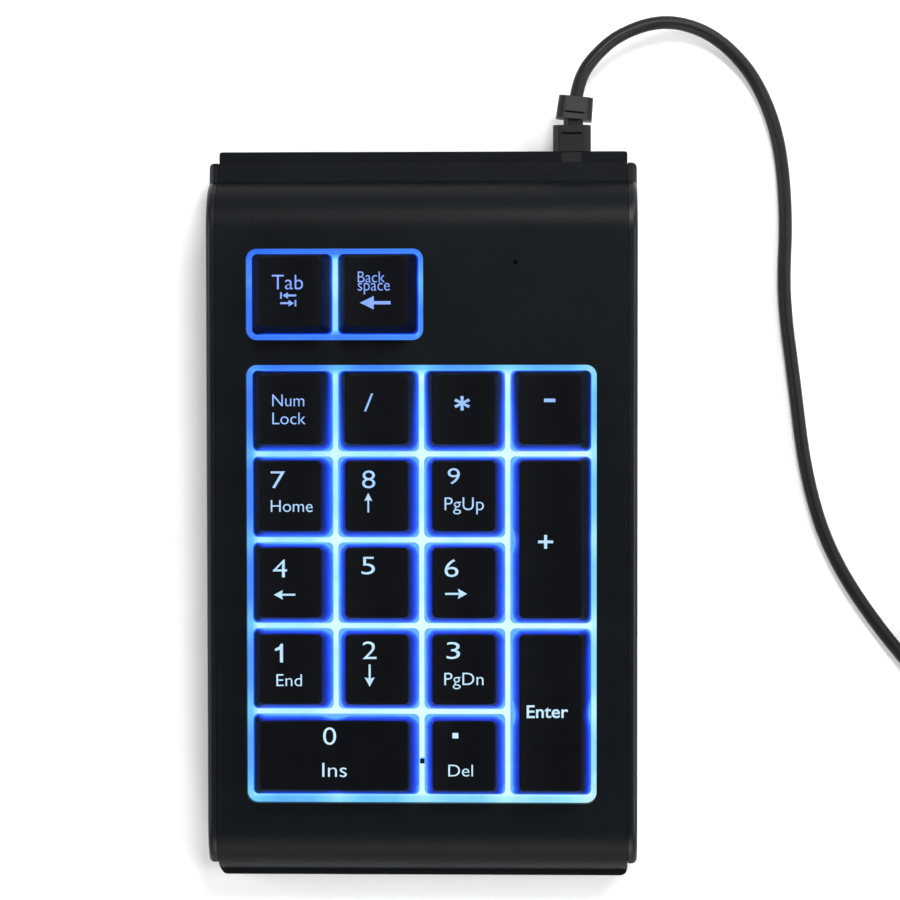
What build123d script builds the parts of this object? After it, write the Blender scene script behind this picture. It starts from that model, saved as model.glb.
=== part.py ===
from build123d import *
import os
from math import cos, pi, radians, sin, tan

os.makedirs("parts", exist_ok=True)

# ------------------------------------------------------------------ driving dimensions (mm)
# Frame: +X right, +Y to the rear, +Z up. The origin is on the table, under the middle of the case.
BODY_WIDTH = 91.3          # centre body: base and cover
BODY_LENGTH = 162.2
CHEEK_GAP = 0.1            # groove between the centre body and each side cheek
CHEEK_THICKNESS = 2.0
CHEEK_REAR_Y = 78.4
CHEEK_FRONT_Y = -77.7
FOOT_HEIGHT = 2.0          # how far the feet hold the base off the table
WALL = 2.0
FRONT_CORNER = 1.5         # rounding of the case's corners in plan
REAR_CORNER = 0.6

DECK_TILT = 2.2            # degrees, down towards the front
DECK_HEIGHT = 20.1         # deck surface above the table, at the middle of the case
CREST_Y = 63.2             # where the deck turns down into the rear step
STEP_Y = 74.3              # foot of the rear step
SHELF_Z = 14.3
COVER_REAR_Y = 78.5
BROW_Y = -69.8             # where the deck turns down into the nose
NOSE_Y = -79.6
LIP_Z = 9.8
COVER_FRONT_Y = -80.6
SEAM_Z = 10.1              # seam between cover and base, at the middle of the case
SEAM_SLOPE = 0.026

PITCH = 19.05              # standard key spacing
COLUMNS = [-1.5 * PITCH, -0.5 * PITCH, 0.5 * PITCH, 1.5 * PITCH]
TOP_ROW = 48.8             # tab and backspace, in their own window
ROWS = [23.05 - PITCH * row for row in range(5)]
KEY_BASE = 17.95
KEY_TOP_WIDTH = 13.65
KEY_TOP_LENGTH = 15.2
KEY_TOP_SHIFT = 0.7        # the top face sits behind the middle of the base
KEY_SKIRT = -0.6           # heights in the deck's own frame: 0 is the deck surface
KEY_TOP = 7.9
KEY_WALL = 1.25
KEY_CEILING = 5.8
CEILING_WIDTH = 12.3       # the cavity at its ceiling
CEILING_LENGTH = 13.5
BASE_CORNER = 1.2
TOP_CORNER = 1.0
CAVITY_CORNER = 0.8
DISH_DEPTH = 0.9
TOP_ROUNDING = 0.35
TRAVEL = 3.0

STEM = 9.2                 # cross-shaped stem under a single key, tip to tip
STEM_WIDE = 7.0            # under a double key
STEM_ARM = 2.2
STEM_FOOT = -5.6           # rests on its rubber dome
FIT = 0.1                  # running clearance of stems in their chimneys, each side

PLATE_TOP = -4.0
PLATE_BOTTOM = -5.4
CHIMNEY_TOP = 0.5
CHIMNEY_WALL = 1.1
HOOK_DEPTH = 0.5
HOOK_TOP = -1.3
HOOK_BOTTOM = -2.9

DOME_BASE = -8.9
DOME_WALL = 0.5
SHEET_BOTTOM = -9.3
FILM = 0.15
GUIDE_TOP = SHEET_BOTTOM - 3 * FILM
GUIDE_BOTTOM = GUIDE_TOP - 1.5
SUPPORT_BOTTOM = GUIDE_BOTTOM - 0.5

WIRE = 1.2                 # stabiliser wire diameter
WIRE_ARM = 8.0
WIRE_REACH = 11.5          # half the length of a stabiliser wire
WIRE_ANGLE = 20.5          # degrees, how far the arms stand up at rest
WIRE_PIVOT = -2.9
WIRE_OFFSET = -5.7         # from the middle of its key
WIRE_TIP = 2.6
LUG_POSITION = 9.8

WINDOW_RADIUS = 2.4
SMALL_WINDOW = (-PITCH - 0.2, TOP_ROW, 39.3, 20.2)           # x, v, width, length
MAIN_WINDOW = (-0.1, ROWS[2] - 0.4, 77.6, 97.3)
LIGHT_HOLE = (20.8, 55.8)
LIGHT_HOLE_DIAMETER = 1.1

CABLE = 3.0                # cable diameter
EXIT_X = 33.3
EXIT_Z = 8.5

# ------------------------------------------------------------------ frames and small helpers
tilt = radians(DECK_TILT)
DECK = Plane(origin=(0, 0, DECK_HEIGHT), x_dir=(1, 0, 0), z_dir=(0, -sin(tilt), cos(tilt)))
half_width = BODY_WIDTH / 2
half_length = BODY_LENGTH / 2


def deck_z(y):
    """Height of the deck surface above the table."""
    return DECK_HEIGHT + y * tan(tilt)


def seam_z(y):
    """Height of the seam between base and cover above the table."""
    return SEAM_Z + y * SEAM_SLOPE


def on_deck(x, v, w=0.0):
    """The deck's frame, moved to x across, v up the slope and w above the surface."""
    return Plane(origin=DECK.from_local_coords((x, v, w)), x_dir=DECK.x_dir, z_dir=DECK.z_dir)


def side_outline(inset, drop, rear, front):
    """Side view of the cover or a cheek, moved inwards by inset and closed drop below the seam."""
    crest = (CREST_Y, deck_z(CREST_Y) - inset)
    brow = (BROW_Y, deck_z(BROW_Y) - inset)
    with BuildSketch(Plane.YZ) as outline:
        with BuildLine():
            deck_line = Line(brow, crest)
            TangentArc(crest, (STEP_Y - inset, SHELF_Z - inset), tangent=deck_line % 1)
            TangentArc(brow, (NOSE_Y + inset, LIP_Z - inset), tangent=(deck_line % 0) * -1)
            Polyline(
                (STEP_Y - inset, SHELF_Z - inset),
                (rear - inset, SHELF_Z - inset),
                (rear - inset, seam_z(rear) - drop),
                (front + inset, seam_z(front) - drop),
                (front + inset, LIP_Z - inset),
                (NOSE_Y + inset, LIP_Z - inset),
            )
        make_face()
    return outline


def finish(piece, name):
    """Label a finished piece and write it out."""
    piece.label = name
    export_step(piece, f"parts/{name}.step")


# ------------------------------------------------------------------ keys: name, x, v, width and length in key units
KEYS = [
    ("key_tab", COLUMNS[0], TOP_ROW, 1, 1),
    ("key_backspace", COLUMNS[1], TOP_ROW, 1, 1),
    ("key_num_lock", COLUMNS[0], ROWS[0], 1, 1),
    ("key_divide", COLUMNS[1], ROWS[0], 1, 1),
    ("key_multiply", COLUMNS[2], ROWS[0], 1, 1),
    ("key_minus", COLUMNS[3], ROWS[0], 1, 1),
    ("key_7", COLUMNS[0], ROWS[1], 1, 1),
    ("key_8", COLUMNS[1], ROWS[1], 1, 1),
    ("key_9", COLUMNS[2], ROWS[1], 1, 1),
    ("key_plus", COLUMNS[3], ROWS[1] - PITCH / 2, 1, 2),
    ("key_4", COLUMNS[0], ROWS[2], 1, 1),
    ("key_5", COLUMNS[1], ROWS[2], 1, 1),
    ("key_6", COLUMNS[2], ROWS[2], 1, 1),
    ("key_1", COLUMNS[0], ROWS[3], 1, 1),
    ("key_2", COLUMNS[1], ROWS[3], 1, 1),
    ("key_3", COLUMNS[2], ROWS[3], 1, 1),
    ("key_enter", COLUMNS[3], ROWS[3] - PITCH / 2, 1, 2),
    ("key_0", COLUMNS[0] + PITCH / 2, ROWS[4], 2, 1),
    ("key_decimal", COLUMNS[2], ROWS[4], 1, 1),
]
SINGLE_KEYS = [(x, v) for name, x, v, wide, long in KEYS if wide * long == 1]
DOUBLE_KEYS = [(x, v, wide) for name, x, v, wide, long in KEYS if wide * long == 2]
ALL_KEYS = [(x, v) for name, x, v, wide, long in KEYS]


def beside_bar(x, v, wide, along, across):
    """A point of a double key, measured along its stabiliser wire and across it."""
    if wide == 2:
        return x + along, v + across
    return x + across, v + along


def stem_size(wide, long):
    """Tip to tip size of a key's cross-shaped stem."""
    return STEM if wide * long == 1 else STEM_WIDE


# ------------------------------------------------------------------ keycaps with their stems
LUG_ACROSS = 3.2
LUG_ALONG = 1.8
LUG_BOTTOM = -1.2
SLOT_WIDTH = 2.0
SLOT_HEIGHT = 1.4
wire_tip_height = WIRE_PIVOT + WIRE_ARM * sin(radians(WIRE_ANGLE))
slot_across = WIRE_OFFSET + WIRE_ARM * (1 + cos(radians(WIRE_ANGLE))) / 2


def dish(x, v, top_width):
    """A long cylinder that hollows a key's top across its width, front to back."""
    radius = (top_width / 2) ** 2 / (2 * DISH_DEPTH) + DISH_DEPTH / 2
    spine = on_deck(x, v, KEY_TOP - DISH_DEPTH + radius)
    along = Plane(origin=spine.origin, x_dir=DECK.x_dir, z_dir=DECK.y_dir * -1)
    with BuildPart() as roller:
        with BuildSketch(along):
            Circle(radius)
        extrude(amount=2 * PITCH, both=True)
    return roller.part


for name, x, v, wide, long in KEYS:
    extra_x = (wide - 1) * PITCH
    extra_v = (long - 1) * PITCH
    stem = stem_size(wide, long)
    hollow = dish(x, v, KEY_TOP_WIDTH + extra_x)
    with BuildPart() as keycap:
        # tapered cap with rounded corners
        with BuildSketch(on_deck(x, v, KEY_SKIRT)):
            RectangleRounded(KEY_BASE + extra_x, KEY_BASE + extra_v, BASE_CORNER)
        with BuildSketch(on_deck(x, v + KEY_TOP_SHIFT, KEY_TOP)):
            RectangleRounded(KEY_TOP_WIDTH + extra_x, KEY_TOP_LENGTH + extra_v, TOP_CORNER)
        loft()
        add(hollow, mode=Mode.SUBTRACT)
        fillet(keycap.faces().sort_by(Axis.Z)[-1].edges(), TOP_ROUNDING)
        # cavity under the cap
        with BuildSketch(on_deck(x, v, KEY_SKIRT)):
            cavity = KEY_BASE - 2 * KEY_WALL
            RectangleRounded(cavity + extra_x, cavity + extra_v, CAVITY_CORNER)
        with BuildSketch(on_deck(x, v + KEY_TOP_SHIFT / 2, KEY_CEILING)):
            RectangleRounded(CEILING_WIDTH + extra_x, CEILING_LENGTH + extra_v, CAVITY_CORNER)
        loft(mode=Mode.SUBTRACT)
        # cross-shaped stem
        with BuildSketch(on_deck(x, v, STEM_FOOT)):
            Rectangle(stem, STEM_ARM)
            Rectangle(STEM_ARM, stem)
        extrude(amount=KEY_CEILING + 0.3 - STEM_FOOT)
        # catches that keep the key from lifting out of its chimney
        with BuildSketch(on_deck(x, v, HOOK_BOTTOM)):
            Rectangle(stem + 2 * HOOK_DEPTH, STEM_ARM)
        extrude(amount=HOOK_TOP - HOOK_BOTTOM)
        if wide * long == 2:
            # lugs that the stabiliser wire's ends slide in
            for side in (-1, 1):
                lug_x, lug_v = beside_bar(x, v, wide, side * LUG_POSITION, slot_across)
                across_x = LUG_ALONG if wide == 2 else LUG_ACROSS
                across_v = LUG_ACROSS if wide == 2 else LUG_ALONG
                with BuildSketch(on_deck(lug_x, lug_v, LUG_BOTTOM)):
                    Rectangle(across_x, across_v)
                extrude(amount=KEY_CEILING + 0.3 - LUG_BOTTOM)
                slot_x = across_x + 1 if wide == 2 else SLOT_WIDTH
                slot_v = SLOT_WIDTH if wide == 2 else across_v + 1
                with BuildSketch(on_deck(lug_x, lug_v, wire_tip_height - SLOT_HEIGHT / 2)):
                    Rectangle(slot_x, slot_v)
                extrude(amount=SLOT_HEIGHT, mode=Mode.SUBTRACT)
    finish(keycap.part, name)


# ------------------------------------------------------------------ stabiliser wires under the double keys
for name, (x, v, wide) in zip(("plus", "enter", "zero"), DOUBLE_KEYS):
    pivot_x, pivot_v = beside_bar(x, v, wide, 0, WIRE_OFFSET)
    bar_direction = DECK.x_dir if wide == 2 else DECK.y_dir
    arm_level = DECK.y_dir if wide == 2 else DECK.x_dir
    arm = arm_level * cos(radians(WIRE_ANGLE)) + DECK.z_dir * sin(radians(WIRE_ANGLE))
    flat = Plane(
        origin=on_deck(pivot_x, pivot_v, WIRE_PIVOT).origin,
        x_dir=bar_direction,
        z_dir=bar_direction.cross(arm),
    )
    with BuildPart() as stabiliser:
        with BuildLine(flat) as bend:
            FilletPolyline(
                (-WIRE_REACH + WIRE_TIP, WIRE_ARM),
                (-WIRE_REACH, WIRE_ARM),
                (-WIRE_REACH, 0),
                (WIRE_REACH, 0),
                (WIRE_REACH, WIRE_ARM),
                (WIRE_REACH - WIRE_TIP, WIRE_ARM),
                radius=WIRE,
            )
        with BuildSketch(Plane(origin=bend.line @ 0, z_dir=bend.line % 0)):
            Circle(WIRE / 2)
        sweep()
    finish(stabiliser.part, f"stabiliser_wire_{name}")


# ------------------------------------------------------------------ sheets that share one outline under the keys
SHEET_HALF_WIDTH = 41.6
SHEET_FRONT = -66.4
SHEET_MIDDLE = 35.6
SHEET_REAR = 61.0
SHEET_STEP_X = 2.2
SCREW_SPOTS = [
    (-PITCH, (ROWS[0] + ROWS[1]) / 2),
    (PITCH, (ROWS[0] + ROWS[1]) / 2),
    (0, (ROWS[1] + ROWS[2]) / 2),
    (-PITCH, (ROWS[2] + ROWS[3]) / 2),
    (PITCH, (ROWS[2] + ROWS[3]) / 2),
    (-PITCH, (TOP_ROW + ROWS[0]) / 2),
]
POST_DIAMETER = 4.0


def sheet_outline(margin=0.0):
    """Flat outline of the plates and films: a block under the keys with an arm under the top row."""
    side = SHEET_HALF_WIDTH + margin
    step = SHEET_STEP_X + margin
    Polyline(
        (-side, SHEET_FRONT - margin),
        (side, SHEET_FRONT - margin),
        (side, SHEET_MIDDLE + margin),
        (step, SHEET_MIDDLE + margin),
        (step, SHEET_REAR + margin),
        (-side, SHEET_REAR + margin),
        close=True,
    )


def flat_sheet(top, thickness, hole, hole_spots, post_hole):
    """A flat sheet under the keys, with a round hole at each spot and at each fixing post."""
    with BuildPart() as sheet:
        with BuildSketch(on_deck(0, 0, top - thickness)):
            with BuildLine():
                sheet_outline()
            make_face()
            with Locations(*SCREW_SPOTS):
                Circle(post_hole / 2, mode=Mode.SUBTRACT)
            if hole_spots:
                with Locations(*hole_spots):
                    Circle(hole / 2, mode=Mode.SUBTRACT)
        extrude(amount=thickness)
    return sheet.part


# ------------------------------------------------------------------ key guide plate with its chimneys
RIM = 1.2
RIM_CLEARANCE = 0.9
CLIP_POSITION = 8.2
CLIP_LENGTH = 1.8
CLIP_WIDTH = 2.2
CLIP_TOP = -1.9
CLIP_HOLE = WIRE + 0.1
CLIP_MOUTH = 0.9

with BuildPart() as key_guide_plate:
    with BuildSketch(on_deck(0, 0, PLATE_BOTTOM)):
        with BuildLine():
            sheet_outline(0.6)
        make_face()
    extrude(amount=PLATE_TOP - PLATE_BOTTOM)
    # light-tight rims that reach the underside of the cover around both windows
    with BuildSketch(on_deck(0, 0, PLATE_TOP)):
        for x, v, wide, long in (SMALL_WINDOW, MAIN_WINDOW):
            with Locations((x, v)):
                RectangleRounded(wide + 2 * (RIM_CLEARANCE + RIM), long + 2 * (RIM_CLEARANCE + RIM), 3)
        for x, v, wide, long in (SMALL_WINDOW, MAIN_WINDOW):
            with Locations((x, v)):
                RectangleRounded(wide + 2 * RIM_CLEARANCE, long + 2 * RIM_CLEARANCE, 2, mode=Mode.SUBTRACT)
    extrude(amount=-WALL - PLATE_TOP)
    # chimneys
    with BuildSketch(on_deck(0, 0, PLATE_BOTTOM)):
        for name, x, v, wide, long in KEYS:
            outer = stem_size(wide, long) + 2 * (FIT + CHIMNEY_WALL)
            with Locations((x, v)):
                RectangleRounded(outer, outer, 1)
    extrude(amount=CHIMNEY_TOP - PLATE_BOTTOM)
    with BuildSketch(on_deck(0, 0, PLATE_BOTTOM)):
        for name, x, v, wide, long in KEYS:
            bore = stem_size(wide, long) + 2 * FIT
            with Locations((x, v)):
                Rectangle(bore, bore)
    extrude(amount=CHIMNEY_TOP - PLATE_BOTTOM, mode=Mode.SUBTRACT)
    # grooves that the catches run in, closed at the top
    with BuildSketch(on_deck(0, 0, PLATE_BOTTOM)):
        for name, x, v, wide, long in KEYS:
            with Locations((x, v)):
                Rectangle(stem_size(wide, long) + 2 * (HOOK_DEPTH + FIT), STEM_ARM + 4 * FIT)
    extrude(amount=HOOK_TOP + FIT - PLATE_BOTTOM, mode=Mode.SUBTRACT)
    # clips that hold the stabiliser wires, and openings under the lugs of those keys
    for x, v, wide in DOUBLE_KEYS:
        for side in (-1, 1):
            clip_x, clip_v = beside_bar(x, v, wide, side * CLIP_POSITION, WIRE_OFFSET)
            bar_direction = DECK.x_dir if wide == 2 else DECK.y_dir
            with BuildSketch(on_deck(clip_x, clip_v, PLATE_TOP)):
                Rectangle(
                    CLIP_LENGTH if wide == 2 else CLIP_WIDTH,
                    CLIP_WIDTH if wide == 2 else CLIP_LENGTH,
                )
            extrude(amount=CLIP_TOP - PLATE_TOP)
            bore_centre = on_deck(clip_x, clip_v, WIRE_PIVOT).origin
            with BuildSketch(Plane(origin=bore_centre, z_dir=bar_direction)):
                Circle(CLIP_HOLE / 2)
            extrude(amount=CLIP_LENGTH, both=True, mode=Mode.SUBTRACT)
            with BuildSketch(on_deck(clip_x, clip_v, WIRE_PIVOT)):
                Rectangle(
                    CLIP_LENGTH + 1 if wide == 2 else CLIP_MOUTH,
                    CLIP_MOUTH if wide == 2 else CLIP_LENGTH + 1,
                )
            extrude(amount=CLIP_TOP - WIRE_PIVOT, mode=Mode.SUBTRACT)
            lug_x, lug_v = beside_bar(x, v, wide, side * LUG_POSITION, slot_across)
            with BuildSketch(on_deck(lug_x, lug_v, PLATE_BOTTOM)):
                Rectangle(
                    LUG_ALONG + 1.2 if wide == 2 else LUG_ACROSS + 1.2,
                    LUG_ACROSS + 1.2 if wide == 2 else LUG_ALONG + 1.2,
                )
            extrude(amount=PLATE_TOP - PLATE_BOTTOM, mode=Mode.SUBTRACT)
    # fixing posts that reach down to the support plate
    with BuildSketch(on_deck(0, 0, GUIDE_BOTTOM)):
        with Locations(*SCREW_SPOTS):
            Circle(POST_DIAMETER / 2)
    extrude(amount=PLATE_BOTTOM - GUIDE_BOTTOM)
    with BuildSketch(on_deck(0, 0, GUIDE_BOTTOM)):
        with Locations(*SCREW_SPOTS):
            Circle(1.6 / 2)
    extrude(amount=5, mode=Mode.SUBTRACT)
finish(key_guide_plate.part, "key_guide_plate")


# ------------------------------------------------------------------ rubber dome sheet
DOME_FOOT = 8.6
DOME_CROWN = 5.6

with BuildPart() as dome_sheet:
    with BuildSketch(on_deck(0, 0, SHEET_BOTTOM)):
        with BuildLine():
            sheet_outline()
        make_face()
        with Locations(*SCREW_SPOTS):
            Circle((POST_DIAMETER + 0.6) / 2, mode=Mode.SUBTRACT)
    extrude(amount=DOME_BASE - SHEET_BOTTOM)
    for x, v in ALL_KEYS:
        with BuildSketch(on_deck(x, v, DOME_BASE)):
            Circle(DOME_FOOT / 2)
        with BuildSketch(on_deck(x, v, STEM_FOOT)):
            Circle(DOME_CROWN / 2)
        loft()
        with BuildSketch(on_deck(x, v, SHEET_BOTTOM)):
            Circle(DOME_FOOT / 2 - DOME_WALL)
        with BuildSketch(on_deck(x, v, STEM_FOOT - 2 * DOME_WALL)):
            Circle(DOME_CROWN / 2 - DOME_WALL)
        loft(mode=Mode.SUBTRACT)
finish(dome_sheet.part, "dome_sheet")

# ------------------------------------------------------------------ membrane films, light guide and support plate
post_clearance = POST_DIAMETER + 0.6
finish(flat_sheet(SHEET_BOTTOM, FILM, 0, [], post_clearance), "membrane_upper_film")
finish(flat_sheet(SHEET_BOTTOM - FILM, FILM, 5, ALL_KEYS, post_clearance), "membrane_spacer_film")
finish(flat_sheet(SHEET_BOTTOM - 2 * FILM, FILM, 0, [], post_clearance), "membrane_lower_film")
finish(flat_sheet(GUIDE_TOP, GUIDE_TOP - GUIDE_BOTTOM, 0, [], post_clearance), "light_guide")
finish(flat_sheet(GUIDE_BOTTOM, GUIDE_BOTTOM - SUPPORT_BOTTOM, 0, [], 2.2), "support_plate")


def screws(plane, spots, thread, length, head, head_height, grip):
    """Pan-head screws driven upwards: threads from the plane up, heads below it."""
    with BuildPart() as group:
        with BuildSketch(plane.offset(-head_height)):
            with Locations(*spots):
                Circle(head / 2)
        extrude(amount=head_height)
        with BuildSketch(plane.offset(-head_height)):
            with Locations(*spots):
                Rectangle(head * 0.55, thread * 0.3)
                Rectangle(thread * 0.3, head * 0.55)
        extrude(amount=grip, mode=Mode.SUBTRACT)
        with BuildSketch(plane):
            with Locations(*spots):
                Circle(thread / 2)
        extrude(amount=length)
    return group.part


finish(screws(on_deck(0, 0, SUPPORT_BOTTOM), SCREW_SPOTS, 1.6, 5, 3.6, 1.0, 0.6), "plate_screws")


# ------------------------------------------------------------------ light strip at the front edge of the light guide
STRIP_V = -68.3
STRIP_LENGTH = 62
STRIP_WIDTH = 3.4
STRIP_TOP = GUIDE_BOTTOM - 0.05
STRIP_THICKNESS = 0.8
LIGHT_COUNT = 6
LIGHT_SPACING = 11
LIGHT_LENGTH = 3.0
LIGHT_WIDTH = 1.2
LIGHT_HEIGHT = 1.4

with BuildPart() as light_strip_board:
    with BuildSketch(on_deck(0, STRIP_V, STRIP_TOP - STRIP_THICKNESS)):
        Rectangle(STRIP_LENGTH, STRIP_WIDTH)
    extrude(amount=STRIP_THICKNESS)
finish(light_strip_board.part, "light_strip_board")

with BuildPart() as backlight_leds:
    with BuildSketch(on_deck(0, STRIP_V + 0.6, STRIP_TOP)):
        with GridLocations(LIGHT_SPACING, 1, LIGHT_COUNT, 1):
            Rectangle(LIGHT_LENGTH, LIGHT_WIDTH)
    extrude(amount=LIGHT_HEIGHT)
finish(backlight_leds.part, "backlight_leds")

# ------------------------------------------------------------------ controller board at the rear right
BOARD_X = 23.6
BOARD_V = 50.2
BOARD_WIDTH = 37.0
BOARD_LENGTH = 20.4
BOARD_TOP = -7.0
BOARD_THICKNESS = 1.2
BOARD_SCREWS = [(8.4, 43.4), (38.6, 43.4), (8.4, 57.0)]
CHIP = (27.0, 48.0)
CHIP_SIZE = 7.0
CHIP_HEIGHT = 1.3
LEGS_A_SIDE = 8
LEG_SPACING = 0.8
LEG_WIDTH = 0.35
LEG_LENGTH = 1.2
LEG_ROWS_APART = 8.0
SOCKET = (31.0, 57.2)
SOCKET_WIDTH = 12.4
SOCKET_LENGTH = 5.0
SOCKET_HEIGHT = 4.4
SOCKET_WALL = 0.8

with BuildPart() as controller_board:
    with BuildSketch(on_deck(0, 0, BOARD_TOP - BOARD_THICKNESS)):
        with Locations((BOARD_X, BOARD_V)):
            RectangleRounded(BOARD_WIDTH, BOARD_LENGTH, 1)
        with Locations(*BOARD_SCREWS):
            Circle(1.1, mode=Mode.SUBTRACT)
    extrude(amount=BOARD_THICKNESS)
finish(controller_board.part, "controller_board")

with BuildPart() as controller_chip:
    with BuildSketch(on_deck(CHIP[0], CHIP[1], BOARD_TOP + 0.1)):
        Rectangle(CHIP_SIZE, CHIP_SIZE)
    extrude(amount=CHIP_HEIGHT)
    with BuildSketch(on_deck(CHIP[0], CHIP[1], BOARD_TOP)):
        with GridLocations(LEG_SPACING, LEG_ROWS_APART, LEGS_A_SIDE, 2):
            Rectangle(LEG_WIDTH, LEG_LENGTH)
        with GridLocations(LEG_ROWS_APART, LEG_SPACING, 2, LEGS_A_SIDE):
            Rectangle(LEG_LENGTH, LEG_WIDTH)
    extrude(amount=0.3)
finish(controller_chip.part, "controller_chip")

with BuildPart() as num_lock_light:
    with BuildSketch(on_deck(LIGHT_HOLE[0], LIGHT_HOLE[1], BOARD_TOP)):
        Circle(1.9)
    extrude(amount=0.8)
    with BuildSketch(on_deck(LIGHT_HOLE[0], LIGHT_HOLE[1], BOARD_TOP + 0.8)):
        Circle(1.5)
    extrude(amount=3.6)
    fillet(num_lock_light.faces().sort_by(Axis.Z)[-1].edges(), 1.2)
finish(num_lock_light.part, "num_lock_light")

with BuildPart() as cable_socket:
    with BuildSketch(on_deck(SOCKET[0], SOCKET[1], BOARD_TOP)):
        Rectangle(SOCKET_WIDTH, SOCKET_LENGTH)
    extrude(amount=SOCKET_HEIGHT)
    with BuildSketch(on_deck(SOCKET[0], SOCKET[1] + 1.5, BOARD_TOP + 0.6)):
        Rectangle(SOCKET_WIDTH - 2 * SOCKET_WALL, 3.0)
    extrude(amount=SOCKET_HEIGHT - 1.2, mode=Mode.SUBTRACT)
finish(cable_socket.part, "cable_socket")

with BuildPart() as membrane_tail:
    # a thin ribbon from between the films up to the controller board
    with BuildSketch(Plane.YZ.offset(11)):
        tail_front = deck_z(SHEET_MIDDLE) + SHEET_BOTTOM - 2 * FILM
        tail_rear = deck_z(41) + BOARD_TOP - BOARD_THICKNESS - 0.1
        with BuildLine():
            Polyline(
                (SHEET_MIDDLE + 0.6, tail_front),
                (SHEET_MIDDLE + 0.6, tail_front + FILM),
                (40.2, tail_rear),
                (44.5, tail_rear + 0.1),
                (44.5, tail_rear - FILM + 0.1),
                (40.2, tail_rear - FILM),
                close=True,
            )
        make_face()
    extrude(amount=12)
finish(membrane_tail.part, "membrane_tail")

# ------------------------------------------------------------------ top cover
CASE_POSTS = [(-39.2, 67.5), (39.2, 67.5), (-39.2, -71.4), (39.2, -71.4)]
POST_RADIUS = 3.2
COVER_POST_BOTTOM = 10.4
BOARD_POST_RADIUS = 2.3

cover_face = side_outline(0, 0, COVER_REAR_Y, COVER_FRONT_Y).sketch
cover_void = side_outline(WALL, 6, COVER_REAR_Y, COVER_FRONT_Y).sketch

with BuildPart() as top_cover:
    extrude(cover_face, amount=half_width, both=True)
    upright = top_cover.edges().filter_by(Axis.Z).group_by(Axis.Y)
    fillet(upright[0], FRONT_CORNER)
    fillet(top_cover.edges().filter_by(Axis.Z).group_by(Axis.Y)[-1], REAR_CORNER)
    outside = top_cover.part
    extrude(cover_void, amount=half_width - WALL, both=True, mode=Mode.SUBTRACT)
    # screw posts at the corners and for the controller board
    with BuildSketch(Plane.XY.offset(COVER_POST_BOTTOM)):
        with Locations(*CASE_POSTS):
            Circle(POST_RADIUS)
    extrude(amount=DECK_HEIGHT)
    with BuildSketch(on_deck(0, 0, BOARD_TOP)):
        with Locations(*BOARD_SCREWS):
            Circle(BOARD_POST_RADIUS)
    extrude(amount=-BOARD_TOP)
    add(outside, mode=Mode.INTERSECT)
    with BuildSketch(Plane.XY.offset(COVER_POST_BOTTOM)):
        with Locations(*CASE_POSTS):
            Circle(1.25)
    extrude(amount=4.6, mode=Mode.SUBTRACT)
    with BuildSketch(on_deck(0, 0, BOARD_TOP)):
        with Locations(*BOARD_SCREWS):
            Circle(0.8)
    extrude(amount=5, mode=Mode.SUBTRACT)
    # windows and the pinhole of the number-lock light
    with BuildSketch(on_deck(0, 0, -3)):
        for x, v, wide, long in (SMALL_WINDOW, MAIN_WINDOW):
            with Locations((x, v)):
                RectangleRounded(wide, long, WINDOW_RADIUS)
        with Locations(LIGHT_HOLE):
            Circle(LIGHT_HOLE_DIAMETER / 2)
    extrude(amount=4, mode=Mode.SUBTRACT)
finish(top_cover.part, "top_cover")

# ------------------------------------------------------------------ base shell
FLOOR_TOP = FOOT_HEIGHT + WALL
REAR_WALL = 4.6
BASE_EDGE = 0.5
RIB_HALF_LENGTH = 34
FEET = [(-35, 56), (35, 56), (-35, -56), (35, -56)]
FOOT_DIAMETER = 10.0
FOOT_RECESS = 0.8
RIB_SPOTS = [-62.0, -36.0, -15.0, 23.5, 52.0]
RIB_THICKNESS = 1.6
BASE_POST_TOP = COVER_POST_BOTTOM - 0.05
NECK_WIDTH = 4.8
NECK_BOTTOM = 5.4
LUG_SPOTS = [-60, 0, 60]
CHEEK_LUG_LENGTH = 5
CHEEK_LUG_HEIGHT = 2.2
CHEEK_LUG_Z = 5.4

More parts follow.
